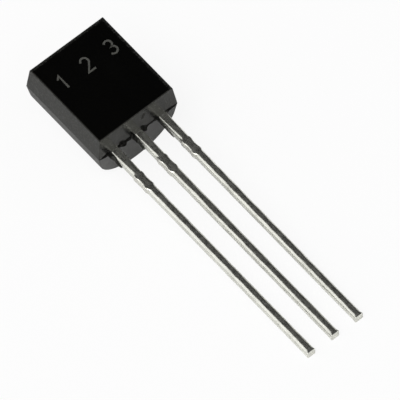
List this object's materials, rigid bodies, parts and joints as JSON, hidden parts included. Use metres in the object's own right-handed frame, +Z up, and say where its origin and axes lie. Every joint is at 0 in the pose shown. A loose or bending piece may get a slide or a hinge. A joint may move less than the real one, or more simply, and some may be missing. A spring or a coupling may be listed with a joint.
{
  "type": "to-92 transistor",
  "caption": "Small moulded transistor with a flat face, a round back and a row of straight tinned leads, for soldering through a circuit board.",
  "frame": {"origin": "middle of the part's footprint, on the surface it rests on", "axes": "+X across the leads from the collector to the emitter, +Y from the lead tips towards the body, +Z up from the table; the flat face is upward and the package leans 8.8 degrees, because it rests on its three lead tips and the heel of its round back"},
  "size_m": [0.0042, 0.017, 0.0042],
  "materials": {
    "moulding_compound": "satin",
    "tinned_lead": "satin",
    "silicon": "polished",
    "silver_epoxy": "matte",
    "gold_wire": "polished"
  },
  "bodies": {
    "root": {"moulded_body": "moulding_compound", "collector_lead": "tinned_lead", "base_lead": "tinned_lead", "emitter_lead": "tinned_lead", "silicon_die": "silicon", "die_attach": "silver_epoxy", "base_bond_wire": "gold_wire", "emitter_bond_wire": "gold_wire"}
  },
  "joints": []
}
